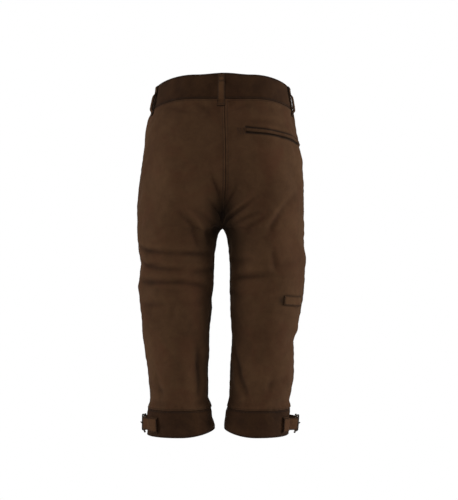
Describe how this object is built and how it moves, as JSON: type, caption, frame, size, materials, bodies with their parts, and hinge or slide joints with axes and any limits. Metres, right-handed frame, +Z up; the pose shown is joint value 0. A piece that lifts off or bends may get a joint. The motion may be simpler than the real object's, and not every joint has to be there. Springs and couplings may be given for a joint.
{
  "type": "leather knee breeches",
  "caption": "Worn-shape suede knee breeches with belt loops, a welted back pocket and buckled knee cuffs, hollow and open at waist and knees.",
  "frame": {"origin": "middle of the waist opening, at half the height of the waistband's side", "axes": "+Z up along the body, -Y the wearer's front, +X the wearer's left"},
  "size_m": [0.35, 0.2569, 0.7438],
  "materials": {
    "suede": "napped, soft brown suede",
    "trim_suede": "napped, darker brown suede",
    "buckle_metal": "old nickel plate",
    "horn": "polished dark horn"
  },
  "bodies": {
    "root": {"back_left": "suede", "back_right": "suede", "front_left": "suede", "front_right": "suede", "fly_lap": "suede", "waistband_left": "trim_suede", "waistband_right": "trim_suede", "belt_loop_back": "trim_suede", "belt_loop_side_left": "trim_suede", "belt_loop_side_right": "trim_suede", "belt_loop_front_left": "trim_suede", "belt_loop_front_right": "trim_suede", "pocket_welt": "trim_suede", "knife_flap": "trim_suede", "cuff_left": "trim_suede", "cuff_right": "trim_suede", "knee_strap_left": "trim_suede", "knee_strap_right": "trim_suede", "strap_keeper_left": "trim_suede", "strap_keeper_right": "trim_suede", "buckle_tab_left": "trim_suede", "buckle_tab_right": "trim_suede", "buckle_frame_left": "buckle_metal", "buckle_frame_right": "buckle_metal", "buckle_prong_left": "buckle_metal", "buckle_prong_right": "buckle_metal", "waist_button": "horn"}
  },
  "joints": []
}
